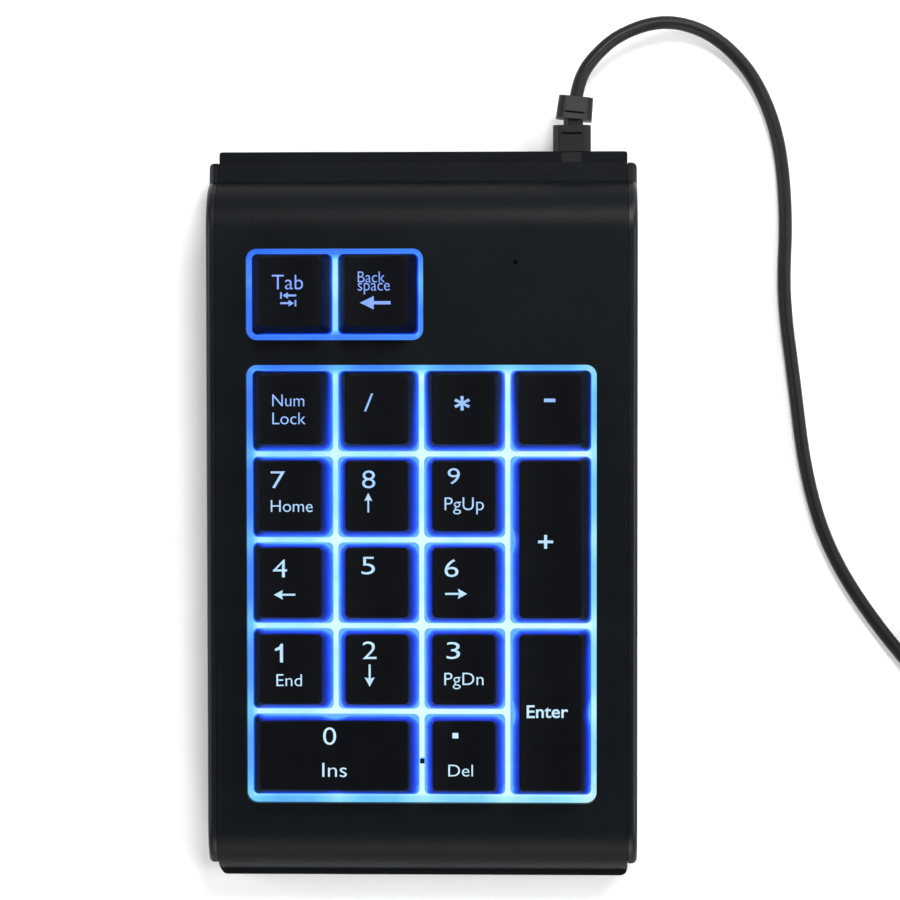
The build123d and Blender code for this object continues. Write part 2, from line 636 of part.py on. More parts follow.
with BuildPart() as base_shell:
    with BuildSketch(Plane.YZ):
        with BuildLine():
            Polyline(
                (-half_length, FOOT_HEIGHT),
                (half_length, FOOT_HEIGHT),
                (half_length, seam_z(half_length)),
                (-half_length, seam_z(-half_length)),
                close=True,
            )
        make_face()
    extrude(amount=half_width, both=True)
    fillet(base_shell.edges().filter_by(Axis.Z).group_by(Axis.Y)[0], FRONT_CORNER)
    fillet(base_shell.edges().filter_by(Axis.Z).group_by(Axis.Y)[-1], REAR_CORNER)
    fillet(base_shell.faces().sort_by(Axis.Z)[0].edges(), BASE_EDGE)
    with BuildSketch(Plane.XY.offset(FLOOR_TOP)):
        with Locations((0, (WALL - REAR_WALL) / 2)):
            Rectangle(BODY_WIDTH - 2 * WALL, BODY_LENGTH - WALL - REAR_WALL)
    extrude(amount=20, mode=Mode.SUBTRACT)
    # posts for the case screws
    with BuildSketch(Plane.XY.offset(FLOOR_TOP)):
        with Locations(*CASE_POSTS):
            Circle(POST_RADIUS)
    extrude(amount=BASE_POST_TOP - FLOOR_TOP)
    with BuildSketch(Plane.XY):
        with Locations(*CASE_POSTS):
            Circle(1.6)
    extrude(amount=20, mode=Mode.SUBTRACT)
    with BuildSketch(Plane.XY):
        with Locations(*CASE_POSTS):
            Circle(2.7)
    extrude(amount=FLOOR_TOP + 1.6, mode=Mode.SUBTRACT)
    # cross ribs that carry the support plate, and a low one under the light strip
    for rib_y in RIB_SPOTS:
        with BuildSketch(Plane.YZ):
            with BuildLine():
                Polyline(
                    (rib_y - RIB_THICKNESS / 2, FLOOR_TOP - 0.5),
                    (rib_y + RIB_THICKNESS / 2, FLOOR_TOP - 0.5),
                    (rib_y + RIB_THICKNESS / 2, deck_z(rib_y + RIB_THICKNESS / 2) + SUPPORT_BOTTOM / cos(tilt)),
                    (rib_y - RIB_THICKNESS / 2, deck_z(rib_y - RIB_THICKNESS / 2) + SUPPORT_BOTTOM / cos(tilt)),
                    close=True,
                )
            make_face()
        extrude(amount=RIB_HALF_LENGTH, both=True)
    # wells for the feet
    with BuildSketch(Plane.XY.offset(FOOT_HEIGHT)):
        with Locations(*FEET):
            Circle(FOOT_DIAMETER / 2 + 0.1)
    extrude(amount=FOOT_RECESS, mode=Mode.SUBTRACT)
    # holes that the lugs of the side cheeks plug into
    with BuildSketch(Plane.YZ):
        with Locations(*[(y, CHEEK_LUG_Z) for y in LUG_SPOTS]):
            Rectangle(CHEEK_LUG_LENGTH + 0.2, CHEEK_LUG_HEIGHT + 0.2)
    extrude(amount=half_width + 1, both=True, mode=Mode.SUBTRACT)
    # notch in the rear wall that the strain relief's neck drops into
    with BuildSketch(Plane.XY.offset(NECK_BOTTOM)):
        with Locations((EXIT_X, half_length - REAR_WALL / 2)):
            Rectangle(NECK_WIDTH, REAR_WALL + 1)
    extrude(amount=20, mode=Mode.SUBTRACT)
finish(base_shell.part, "base_shell")

# ------------------------------------------------------------------ side cheeks
CHEEK_BOTTOM = FOOT_HEIGHT + 0.8
CHEEK_ROUNDING = 1.2

cheek_profile = side_outline(0, 0, CHEEK_REAR_Y, COVER_FRONT_Y).sketch_local
cheek_middle = (CHEEK_REAR_Y + CHEEK_FRONT_Y) / 2
cheek_length = CHEEK_REAR_Y - CHEEK_FRONT_Y
inner_face = Plane.YZ.offset(half_width + CHEEK_GAP)
with BuildPart() as side_cheek:
    with BuildSketch(inner_face):
        add(cheek_profile)
    extrude(amount=CHEEK_THICKNESS)
    with BuildSketch(inner_face):
        with Locations((cheek_middle, (CHEEK_BOTTOM + SHELF_Z - 2) / 2)):
            Rectangle(cheek_length, SHELF_Z - 2 - CHEEK_BOTTOM)
    extrude(amount=CHEEK_THICKNESS)
    with BuildSketch(inner_face):
        with Locations((cheek_middle, DECK_HEIGHT)):
            Rectangle(cheek_length, 2 * DECK_HEIGHT)
    extrude(amount=CHEEK_THICKNESS, mode=Mode.INTERSECT)
    fillet(side_cheek.faces().sort_by(Axis.X)[-1].edges(), CHEEK_ROUNDING)
    # lugs that plug into the side of the base
    with BuildSketch(inner_face):
        with Locations(*[(y, CHEEK_LUG_Z) for y in LUG_SPOTS]):
            Rectangle(CHEEK_LUG_LENGTH, CHEEK_LUG_HEIGHT)
    extrude(amount=-CHEEK_GAP - WALL)
finish(side_cheek.part, "right_side_cheek")
with BuildPart() as left_cheek:
    add(mirror(side_cheek.part, about=Plane.YZ))
finish(left_cheek.part, "left_side_cheek")


# ------------------------------------------------------------------ feet and screws of the case
with BuildPart() as rubber_feet:
    with BuildSketch(Plane.XY):
        with Locations(*FEET):
            Circle(FOOT_DIAMETER / 2)
    extrude(amount=FOOT_HEIGHT + FOOT_RECESS)
    chamfer(rubber_feet.faces().filter_by(Axis.Z).group_by(Axis.Z)[0].edges(), 0.5)
finish(rubber_feet.part, "rubber_feet")

case_screw_seat = Plane.XY.offset(FLOOR_TOP + 1.6)
finish(screws(case_screw_seat, CASE_POSTS, 2.5, 9.2, 4.8, 1.8, 1.0), "case_screws")
board_screw_seat = on_deck(0, 0, BOARD_TOP - BOARD_THICKNESS)
finish(screws(board_screw_seat, BOARD_SCREWS, 1.6, 5.5, 3.4, 1.0, 0.6), "board_screws")

# ------------------------------------------------------------------ strain relief of the cable
BOOT_WIDTH = 8.5
BOOT_HEIGHT = 6.8
BOOT_NECK = 4.4
FLANGE_LENGTH = 1.8
FIRST_BLOCK = 5.9
SECOND_BLOCK = 5.1
BLOCK_GAP = 1.5
BOOT_LEAN = 6.0           # degrees, how far the outer block leans to the right
SLIT = 0.45
rear_face = half_length

boot_root = Plane(origin=(EXIT_X, rear_face + 0.05, EXIT_Z), x_dir=(1, 0, 0), z_dir=(0, 1, 0))
lean_origin = (EXIT_X + 0.35, rear_face + FIRST_BLOCK + BLOCK_GAP / 2, EXIT_Z)
lean_direction = (sin(radians(BOOT_LEAN)), cos(radians(BOOT_LEAN)), 0)
lean_across = (cos(radians(BOOT_LEAN)), -sin(radians(BOOT_LEAN)), 0)
boot_lean = Plane(origin=lean_origin, x_dir=lean_across, z_dir=lean_direction)

with BuildPart() as strain_relief:
    with BuildSketch(boot_root):
        RectangleRounded(BOOT_WIDTH, BOOT_HEIGHT, 1.6)
    extrude(amount=FIRST_BLOCK)
    # neck through the rear wall and flange inside it
    with BuildSketch(boot_root):
        Rectangle(NECK_WIDTH - 0.1, 2 * (EXIT_Z - NECK_BOTTOM) - 0.1)
    extrude(amount=-REAR_WALL - 0.1 - FLANGE_LENGTH)
    with BuildSketch(boot_root.offset(-REAR_WALL - 0.1)):
        RectangleRounded(BOOT_WIDTH, BOOT_HEIGHT, 1.0)
    extrude(amount=-FLANGE_LENGTH)
    # narrow neck, and the outer block that leans over
    with BuildSketch(boot_root.offset(FIRST_BLOCK - 0.5)):
        with Locations((0.3, 0)):
            RectangleRounded(BOOT_NECK, BOOT_NECK, 1.5)
    extrude(amount=BLOCK_GAP + 1.2)
    with BuildSketch(boot_lean.offset(BLOCK_GAP / 2)):
        RectangleRounded(BOOT_WIDTH - 0.4, BOOT_HEIGHT - 0.4, 1.6)
    with BuildSketch(boot_lean.offset(BLOCK_GAP / 2 + SECOND_BLOCK)):
        RectangleRounded(BOOT_WIDTH - 0.8, BOOT_HEIGHT - 1.4, 1.6)
    loft()
    # flex slits, cut from above and below by turns
    for plane, start, first_level in ((boot_root, 1.9, 1), (boot_lean, 2.0, -1)):
        for slit in range(2):
            level = first_level if slit == 0 else -first_level
            with BuildSketch(plane.offset(start + 1.9 * slit)):
                with Locations((0, level * BOOT_HEIGHT / 2)):
                    Rectangle(BOOT_NECK, 2.0)
            extrude(amount=SLIT, mode=Mode.SUBTRACT)
finish(strain_relief.part, "strain_relief")

# ------------------------------------------------------------------ cable: the route of its free stretch
tip = boot_lean.offset(BLOCK_GAP / 2 + SECOND_BLOCK).origin
print("cable exit", tip)
COIL_CENTRE = (138.0, -27.0)
COIL_TURN = 25.5           # radius of the outermost turn's centreline
COIL_INNER_TURN = 10.5
COIL_START = 220           # degrees round the coil where the cable joins it
COIL_END = 40              # and where it leaves
COIL_BASE = 0.4            # the tie's thickness lies under the coil
COIL_OVERLAP = 0.6         # how far the free stretches run into the coil's solid
COIL_SINK = 0.25
LAYERS = 2
table_z = CABLE / 2
coil_z = COIL_BASE + CABLE / 2


def in_coil(angle, height):
    """A point just inside the outermost turn, where a free stretch of the cable runs into the coil."""
    turn = radians(angle)
    reach = COIL_TURN - COIL_OVERLAP
    return (COIL_CENTRE[0] + reach * cos(turn), COIL_CENTRE[1] + reach * sin(turn), height)


CABLE_ROUTE = [
    (tip.X, tip.Y, EXIT_Z),
    (35.0, 98.0, EXIT_Z),
    (38.7, 103.3, 8.0),
    (44.3, 108.1, 6.9),
    (53.6, 111.3, 5.3),
    (62.4, 109.6, 3.8),
    (69.5, 104.8, 2.5),
    (75.6, 97.2, table_z),
    (80.3, 84.8, table_z),
    (81.9, 67.4, table_z),
    (81.0, 49.5, table_z),
    (83.5, 30.5, table_z),
    (86.1, 8.8, table_z),
    (91.5, -9.0, table_z),
    (103.0, -26.6, table_z),
    in_coil(COIL_START, coil_z + COIL_SINK),
]
TAIL_ROUTE = [
    in_coil(COIL_END, coil_z + CABLE * (LAYERS - 1) - COIL_SINK),
    (151.3, -3.2, 4.3),
    (148.0, 6.8, 3.2),
    (147.5, 17.3, 3.5),
    (147.5, 27.5, 4.2),
]
INNER_ROUTE = [
    (EXIT_X, rear_face - REAR_WALL - FLANGE_LENGTH - 0.05, EXIT_Z),
    (EXIT_X, 69.4, EXIT_Z),
    (32.2, 63.6, 16.0),
    (SOCKET[0], SOCKET[1] + 3.2, 17.45),
]


def arc_radii(points):
    """Radius of the arc at each corner: as large as the runs beside it allow."""
    radii = []
    for before, corner, after in zip(points, points[1:], points[2:]):
        first = Vector(*corner) - Vector(*before)
        second = Vector(*after) - Vector(*corner)
        half_turn = radians(first.get_angle(second)) / 2
        radii.append(0.45 * min(first.length, second.length) / tan(half_turn))
    return radii


section = pi * CABLE**2 / 4
for name, points in (("cable", CABLE_ROUTE), ("cable_tail", TAIL_ROUTE), ("cable_inner_end", INNER_ROUTE)):
    radii = arc_radii(points)
    with BuildPart() as tube:
        with BuildLine() as path:
            FilletPolyline(*points, radius=radii)
        with BuildSketch(Plane(origin=path.line @ 0, z_dir=path.line % 0)):
            Circle(CABLE / 2)
        sweep()
    finish(tube.part, name)
    length = sum(edge.length for edge in path.edges())
    print(name, "radii", [round(radius, 1) for radius in radii])
    print(name, "length", round(length, 1), "volume ratio", round(tube.part.volume / length / section, 4))

turns = (COIL_TURN - COIL_INNER_TURN) / CABLE
layer_length = pi * (COIL_TURN + COIL_INNER_TURN) * turns
print("coil length", round(LAYERS * layer_length + pi * COIL_INNER_TURN, 1))

# ------------------------------------------------------------------ put-away coil and its tie
coil_outer = COIL_TURN + CABLE / 2
coil_inner = COIL_INNER_TURN - CABLE / 2
coil_height = LAYERS * CABLE
TIE_ANGLE = 310
TIE_WIDTH = 5.0
TIE_THICKNESS = 0.35
TIE_SLACK = 0.05
tie_inner = coil_inner - 0.6
tie_outer = coil_outer + 0.15
tie_length = tie_outer - tie_inner
tie_height = coil_height + 2 * TIE_SLACK

with BuildPart() as cable_coil:
    with BuildSketch(Plane.XY.offset(COIL_BASE)):
        with Locations(COIL_CENTRE):
            Circle(coil_outer)
            Circle(coil_inner, mode=Mode.SUBTRACT)
    extrude(amount=coil_height)
    fillet(cable_coil.edges(), 1.4)
finish(cable_coil.part, "cable_coil")

tie_turn = radians(TIE_ANGLE)
tie_plane = Plane(
    origin=(COIL_CENTRE[0], COIL_CENTRE[1], 0),
    x_dir=(cos(tie_turn), sin(tie_turn), 0),
    z_dir=(sin(tie_turn), -cos(tie_turn), 0),
)
with BuildPart() as cable_tie:
    with BuildSketch(tie_plane):
        with Locations(((tie_outer + tie_inner) / 2, COIL_BASE + coil_height / 2)):
            RectangleRounded(tie_length + 2 * TIE_THICKNESS, tie_height + 2 * TIE_THICKNESS, 1.2)
            RectangleRounded(tie_length, tie_height, 0.9, mode=Mode.SUBTRACT)
    extrude(amount=TIE_WIDTH / 2, both=True)
finish(cable_tie.part, "cable_tie")

# ------------------------------------------------------------------ USB type A plug
GRIP_WIDTH = 15.6
GRIP_HEIGHT = 8.2
GRIP_LENGTH = 22.0
GRIP_NECK = 7.0
SHELL_WIDTH = 12.0
SHELL_HEIGHT = 4.5
SHELL_LENGTH = 14.5
SHELL_WALL = 0.3
TONGUE_WIDTH = 10.6
TONGUE_HEIGHT = 1.85
plug_root = Plane(origin=TAIL_ROUTE[-1], x_dir=(1, 0, 0), z_dir=(0, 1, 0))
grip_back = plug_root.offset(GRIP_NECK)
grip_front = plug_root.offset(GRIP_NECK + GRIP_LENGTH)

with BuildPart() as usb_plug_grip:
    with BuildSketch(plug_root):
        Circle(2.4)
    with BuildSketch(grip_back.offset(0.5)):
        Circle(3.3)
    loft()
    with BuildSketch(grip_back):
        RectangleRounded(GRIP_WIDTH, GRIP_HEIGHT, 2)
    extrude(amount=GRIP_LENGTH)
    chamfer(usb_plug_grip.faces().sort_by(Axis.Y)[-1].edges(), 0.6)
    # finger grooves across both flat sides
    for groove in range(4):
        with BuildSketch(grip_back.offset(5 + 3 * groove)):
            for level in (-1, 1):
                with Locations((0, level * GRIP_HEIGHT / 2)):
                    Rectangle(9, 0.8)
        extrude(amount=1.0, mode=Mode.SUBTRACT)
finish(usb_plug_grip.part, "usb_plug_grip")

with BuildPart() as usb_plug_shell:
    with BuildSketch(grip_front):
        RectangleRounded(SHELL_WIDTH, SHELL_HEIGHT, 0.6)
        RectangleRounded(SHELL_WIDTH - 2 * SHELL_WALL, SHELL_HEIGHT - 2 * SHELL_WALL, 0.4, mode=Mode.SUBTRACT)
    extrude(amount=SHELL_LENGTH)
    # the two square windows that a socket's springs catch
    with BuildSketch(Plane.XY.offset(plug_root.origin.Z)):
        with Locations((plug_root.origin.X, grip_front.origin.Y + SHELL_LENGTH - 6.2)):
            with GridLocations(5.4, 1, 2, 1):
                Rectangle(2.4, 2.2)
    extrude(amount=10, mode=Mode.SUBTRACT)
finish(usb_plug_shell.part, "usb_plug_shell")

tongue_level = -(SHELL_HEIGHT - 2 * SHELL_WALL - TONGUE_HEIGHT) / 2
with BuildPart() as usb_plug_tongue:
    with BuildSketch(grip_front):
        with Locations((0, tongue_level)):
            Rectangle(TONGUE_WIDTH, TONGUE_HEIGHT)
    extrude(amount=SHELL_LENGTH - 1.2)
finish(usb_plug_tongue.part, "usb_plug_tongue")

with BuildPart() as usb_contacts:
    with BuildSketch(grip_front.offset(1)):
        with Locations((0, tongue_level + TONGUE_HEIGHT / 2 + 0.125)):
            with GridLocations(2.3, 1, 4, 1):
                Rectangle(1.0, 0.25)
    extrude(amount=SHELL_LENGTH - 4)
finish(usb_contacts.part, "usb_contacts")
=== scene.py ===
import math

import bmesh
import bpy
from mathutils import Matrix, Vector
from mathutils.bvhtree import BVHTree


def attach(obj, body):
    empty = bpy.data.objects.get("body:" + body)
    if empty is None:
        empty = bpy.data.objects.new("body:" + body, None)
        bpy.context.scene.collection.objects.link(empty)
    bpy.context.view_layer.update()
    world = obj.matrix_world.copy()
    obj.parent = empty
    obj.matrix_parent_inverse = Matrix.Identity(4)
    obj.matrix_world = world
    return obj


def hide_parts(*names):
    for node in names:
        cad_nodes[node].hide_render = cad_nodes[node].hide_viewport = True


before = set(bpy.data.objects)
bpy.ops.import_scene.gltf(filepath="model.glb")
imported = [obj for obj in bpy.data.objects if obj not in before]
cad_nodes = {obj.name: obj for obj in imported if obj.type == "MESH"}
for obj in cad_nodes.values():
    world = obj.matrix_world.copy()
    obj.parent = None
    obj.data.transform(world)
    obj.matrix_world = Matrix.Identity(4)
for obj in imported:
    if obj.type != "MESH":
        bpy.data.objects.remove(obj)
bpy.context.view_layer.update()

MM = 0.001


# ------------------------------------------------------------------ camera
# The photograph looks almost straight down, from a little right of the keypad.
CAMERA_PLACE = Vector((0.028, 0.0144, 0.7206))
CAMERA_AIM = Vector((0.0063, 0.0144, 0.0206))
CAMERA_LENS = 126.8
CAMERA_SENSOR = 36.0

camera_data = bpy.data.cameras.new("camera")
camera_data.lens = CAMERA_LENS
camera_data.sensor_width = CAMERA_SENSOR
camera = bpy.data.objects.new("camera", camera_data)
bpy.context.scene.collection.objects.link(camera)
forward = (CAMERA_AIM - CAMERA_PLACE).normalized()
picture_up = Vector((0.0, 1.0, 0.0))
picture_right = forward.cross(picture_up)
turned = Matrix((picture_right, picture_up, -forward)).transposed().to_4x4()
camera.matrix_world = Matrix.Translation(CAMERA_PLACE) @ turned
bpy.context.scene.camera = camera


# ------------------------------------------------------------------ cable
CABLE_DIAMETER = 3.0
# The cable's radius is this times each point's own radius.
BEVEL_DEPTH = 1.0
CABLE_EXIT = (34.2615, 93.568, 8.5)
CABLE_ROUTE = [
    CABLE_EXIT,
    (35.0, 98.0, 8.5),
    (38.7, 103.3, 8.0),
    (44.3, 108.1, 6.9),
    (53.6, 111.3, 5.3),
    (62.4, 109.6, 3.8),
    (69.5, 104.8, 2.5),
    (75.6, 97.2, 1.5),
    (80.3, 84.8, 1.5),
    (81.9, 67.4, 1.5),
    (81.0, 49.5, 1.5),
    (83.5, 30.5, 1.5),
    (86.1, 8.8, 1.5),
    (91.5, -9.0, 1.5),
    (103.0, -26.6, 1.5),
]
COIL_CENTRE = (138.0, -27.0)
COIL_OUTER = 25.5
COIL_PITCH = 3.0
COIL_LOW = 1.9
COIL_HIGH = 4.9
COIL_START = math.radians(220.0)
COIL_TURNS_IN = 5.0
COIL_TURNS_RISING = 0.5
COIL_TURNS_OUT = 5.0
COIL_POINTS_A_TURN = 16
CABLE_TAIL = [
    (151.3, -3.2, 4.3),
    (148.0, 6.8, 3.2),
    (147.5, 17.3, 3.5),
    (147.5, 27.5, 4.2),
]


def coil_points():
    """The spare length: flat turns inwards on the floor, then outwards on top of them."""
    made = []
    turns = COIL_TURNS_IN + COIL_TURNS_RISING + COIL_TURNS_OUT
    outside_the_curve = 1.0 / math.cos(math.pi / COIL_POINTS_A_TURN)
    for step in range(int(turns * COIL_POINTS_A_TURN) + 1):
        turn = step / COIL_POINTS_A_TURN
        inward = min(turn, COIL_TURNS_IN)
        outward = max(turn - COIL_TURNS_IN - COIL_TURNS_RISING, 0.0)
        risen = min(max((turn - COIL_TURNS_IN) / COIL_TURNS_RISING, 0.0), 1.0)
        radius = COIL_OUTER + COIL_PITCH * (outward - inward)
        angle = COIL_START + 2 * math.pi * turn
        made.append(
            (
                COIL_CENTRE[0] + radius * outside_the_curve * math.cos(angle),
                COIL_CENTRE[1] + radius * outside_the_curve * math.sin(angle),
                COIL_LOW + (COIL_HIGH - COIL_LOW) * risen,
            )
        )
    return made


cable_line = bpy.data.curves.new("cord", "CURVE")
cable_line.dimensions = "3D"
cable_line.bevel_depth = BEVEL_DEPTH
cable_line.bevel_resolution = 5
cable_line.resolution_u = 8
cable_line.use_fill_caps = True
spline = cable_line.splines.new("NURBS")
cable_points = CABLE_ROUTE + coil_points() + CABLE_TAIL
spline.points.add(len(cable_points) - 1)
for point, place in zip(spline.points, cable_points):
    point.co = (place[0] * MM, place[1] * MM, place[2] * MM, 1.0)
    point.radius = CABLE_DIAMETER / 2 * MM
spline.order_u = 3
spline.use_endpoint_u = True
cord = bpy.data.objects.new("cord", cable_line)
bpy.context.scene.collection.objects.link(cord)
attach(cord, "case")
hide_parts("cable", "cable_coil", "cable_tail")


# ------------------------------------------------------------------ the deck
# The keys stand on a deck that rises to the rear. A place on it is (x, v, w) in
# millimetres: v runs up the slope from the middle, w stands square to it.
DECK_TILT = math.radians(2.2)
DECK_HEIGHT = 20.1
DECK_UP = Vector((0.0, -math.sin(DECK_TILT), math.cos(DECK_TILT)))
DECK_ALONG = Vector((0.0, math.cos(DECK_TILT), math.sin(DECK_TILT)))
DECK_MIDDLE = Vector((0.0, 0.0, DECK_HEIGHT)) * MM
PITCH = 19.05
FIRST_GAP = 13.525
MAIN_WINDOW = (-0.1, -15.45, 77.6, 97.3)
SMALL_WINDOW = (-PITCH - 0.2, 48.8, 39.3, 20.2)
SKIRT_BOTTOM = -0.6
CAP_TOP = 7.9


def on_deck(x, v, w):
    """A deck place in the row frame, in metres."""
    return DECK_MIDDLE + Vector((x * MM, 0.0, 0.0)) + DECK_ALONG * v * MM + DECK_UP * w * MM


# ------------------------------------------------------------------ materials
def linear(red, green, blue, share=1.0):
    """A colour given as 0 to 255 screen values, as the renderer's own linear values."""
    made = []
    for value in (red, green, blue):
        level = value / 255
        made.append(share * (level / 12.92 if level <= 0.04045 else ((level + 0.055) / 1.055) ** 2.4))
    return (*made, 1.0)


def shaded(tree, kind, inputs, **settings):
    """A shader node with its settings made, and its inputs given as values or as sockets to join."""
    made = tree.nodes.new(kind)
    for name, value in settings.items():
        setattr(made, name, value)
    for name, value in inputs.items():
        if isinstance(value, bpy.types.NodeSocket):
            tree.links.new(value, made.inputs[name])
        else:
            made.inputs[name].default_value = value
    return made


def computed(tree, operation, *values, clamp=False):
    """The output of one arithmetic node."""
    made = shaded(tree, "ShaderNodeMath", dict(enumerate(values)), operation=operation, use_clamp=clamp)
    return made.outputs[0]


def ramp(tree, factor, stops):
    """A colour that goes through (place, colour) stops."""
    made = shaded(tree, "ShaderNodeValToRGB", {"Fac": factor})
    elements = made.color_ramp.elements
    elements[0].position, elements[0].color = stops[0]
    elements[1].position, elements[1].color = stops[-1]
    for place, colour in stops[1:-1]:
        elements.new(place).color = colour
    return made.outputs["Color"]


def stretched(tree, factor, low, high, to_low, to_high):
    """A factor between low and high, spread over another range."""
    made = shaded(
        tree,
        "ShaderNodeMapRange",
        {"Value": factor, "From Min": low, "From Max": high, "To Min": to_low, "To Max": to_high},
    )
    return made.outputs["Result"]


def scaled(colour, share):
    return (colour[0] * share, colour[1] * share, colour[2] * share, 1.0)


def new_finish(name, specular):
    """A material with its shader, and the place on the piece in metres."""
    made = bpy.data.materials.new(name)
    made.use_nodes = True
    tree = made.node_tree
    shader = tree.nodes["Principled BSDF"]
    shader.inputs["Specular IOR Level"].default_value = specular
    place = shaded(tree, "ShaderNodeTexCoord", {}).outputs["Object"]
    return made, tree, shader, place


def noise(tree, place, size, detail=3.0, roughness=0.55):
    """Soft cloudy noise with features about size millimetres across."""
    made = shaded(
        tree,
        "ShaderNodeTexNoise",
        {"Vector": place, "Scale": 1.0 / (size * MM), "Detail": detail, "Roughness": roughness},
    )
    return made.outputs["Fac"]


def cells(tree, place, size):
    """Rounded cells about size millimetres across, as in an etched mould."""
    made = shaded(
        tree,
        "ShaderNodeTexVoronoi",
        {"Vector": place, "Scale": 1.0 / (size * MM), "Smoothness": 0.6},
        feature="SMOOTH_F1",
    )
    return made.outputs["Distance"]


def bumped(tree, shader, heights):
    """Bumps of (height, depth in millimetres, strength), each on top of the one before."""
    normal = None
    for height, depth, strength in heights:
        inputs = {"Height": height, "Distance": depth * MM, "Strength": strength}
        if normal is not None:
            inputs["Normal"] = normal
        normal = shaded(tree, "ShaderNodeBump", inputs).outputs["Normal"]
    tree.links.new(normal, shader.inputs["Normal"])


def moulded(name, colour, roughness, grain, depth, specular=0.4, variation=0.18, patch=14.0):
    """Moulded plastic or rubber: an etched grain, cloudy colour, and an uneven sheen."""
    made, tree, shader, place = new_finish(name, specular)
    clouds = noise(tree, place, patch)
    tint = ramp(
        tree,
        clouds,
        [(0.3, scaled(colour, 1 - variation)), (0.7, scaled(colour, 1 + variation))],
    )
    tree.links.new(tint, shader.inputs["Base Color"])
    sheen = noise(tree, place, patch * 0.6, 5.0)
    rough = stretched(tree, sheen, 0.3, 0.7, roughness - 0.03, roughness + 0.03)
    tree.links.new(rough, shader.inputs["Roughness"])
    bumped(
        tree,
        shader,
        [(cells(tree, place, grain), depth, 0.6), (noise(tree, place, grain * 0.3), depth * 0.3, 0.5)],
    )
    return made, tree, shader, place


def metal(name, colour, roughness, grain):
    """Drawn or plated metal: streaks along one way and a slightly uneven polish."""
    made, tree, shader, place = new_finish(name, 0.5)
    shader.inputs["Metallic"].default_value = 1.0
    painted_light_streaks = shaded(tree, "ShaderNodeMapping", {"Vector": place, "Scale": (1.0, 0.06, 1.0)})
    brushed = noise(tree, painted_light_streaks.outputs["Vector"], grain, 4.0)
    tint = ramp(tree, brushed, [(0.25, scaled(colour, 0.82)), (0.75, scaled(colour, 1.05))])
    tree.links.new(tint, shader.inputs["Base Color"])
    rough = stretched(tree, brushed, 0.25, 0.75, roughness - 0.07, roughness + 0.07)
    tree.links.new(rough, shader.inputs["Roughness"])
    bumped(tree, shader, [(brushed, 0.01, 0.5)])
    return made


def clear(name, tint, roughness, through):
    """Clear film, silicone or acrylic with a faint haze."""
    made, tree, shader, place = new_finish(name, 0.5)
    shader.inputs["Transmission Weight"].default_value = through
    haze = noise(tree, place, 6.0, 4.0)
    colour = ramp(tree, haze, [(0.3, scaled(tint, 0.92)), (0.7, tint)])
    tree.links.new(colour, shader.inputs["Base Color"])
    rough = stretched(tree, haze, 0.3, 0.7, roughness - 0.05, roughness + 0.08)
    tree.links.new(rough, shader.inputs["Roughness"])
    bumped(tree, shader, [(noise(tree, place, 0.5), 0.01, 0.3)])
    return made


def deck_places(tree, place):
    """(x, v, w) of a point as three sockets, in millimetres."""
    moved = shaded(
        tree,
        "ShaderNodeVectorMath",
        {0: place, 1: DECK_MIDDLE},
        operation="SUBTRACT",
    ).outputs["Vector"]
    found = []
    for way in (Vector((1.0, 0.0, 0.0)), DECK_ALONG, DECK_UP):
        along = shaded(
            tree, "ShaderNodeVectorMath", {0: moved, 1: way / MM}, operation="DOT_PRODUCT"
        )
        found.append(along.outputs["Value"])
    return found


def near_crossing(tree, x, v, reach):
    """1 where two gaps between the keys cross, falling to 0 at reach millimetres."""
    across = computed(tree, "PINGPONG", x, PITCH / 2)
    along = computed(tree, "PINGPONG", computed(tree, "SUBTRACT", v, FIRST_GAP), PITCH / 2)
    squares = computed(
        tree,
        "ADD",
        computed(tree, "MULTIPLY", across, across),
        computed(tree, "MULTIPLY", along, along),
    )
    away = computed(tree, "SQRT", squares)
    return computed(tree, "SUBTRACT", 1.0, computed(tree, "DIVIDE", away, reach), clamp=True)


def facing(tree, way):
    """How far the surface faces a direction in the row frame, from -1 to 1."""
    normal = shaded(tree, "ShaderNodeNewGeometry", {}).outputs["Normal"]
    found = shaded(tree, "ShaderNodeVectorMath", {0: normal, 1: way}, operation="DOT_PRODUCT")
    return found.outputs["Value"]


finishes = {}

# The case: fine leather-like grain over a satin black.
CASE_COLOUR = (0.0030, 0.0043, 0.0055)
finishes["case_black"] = moulded(
    "case_black", CASE_COLOUR, 0.45, 0.8, 0.05, specular=0.09, variation=0.08
)[0]

CHEEK_COLOUR = (0.0032, 0.0042, 0.0052)
finishes["cheek_black"] = moulded(
    "cheek_black", CHEEK_COLOUR, 0.38, 0.35, 0.012, specular=0.2, variation=0.08
)[0]

finishes["rubber_black"] = moulded(
    "rubber_black", (0.008, 0.008, 0.009), 0.8, 0.5, 0.03, specular=0.15
)[0]
finishes["cable_black"] = moulded(
    "cable_black", (0.0050, 0.0056, 0.0066), 0.42, 0.4, 0.012, specular=0.2
)[0]
finishes["tie_black"] = moulded("tie_black", (0.009, 0.009, 0.010), 0.4, 0.5, 0.02)[0]
finishes["chip_black"] = moulded("chip_black", (0.010, 0.010, 0.011), 0.6, 0.25, 0.01)[0]
finishes["connector_white"] = moulded(
    "connector_white", (0.62, 0.61, 0.57), 0.5, 0.4, 0.01, variation=0.06
)[0]
finishes["steel"] = metal("steel", (0.50, 0.50, 0.49), 0.34, 0.8)
finishes["nickel"] = metal("nickel", (0.66, 0.65, 0.62), 0.24, 0.6)
finishes["gold"] = metal("gold", (0.83, 0.60, 0.22), 0.22, 0.4)
finishes["silicone_clear"] = clear("silicone_clear", (0.78, 0.84, 0.88, 1.0), 0.4, 0.6)
finishes["film_clear"] = clear("film_clear", (0.86, 0.88, 0.90, 1.0), 0.16, 0.8)
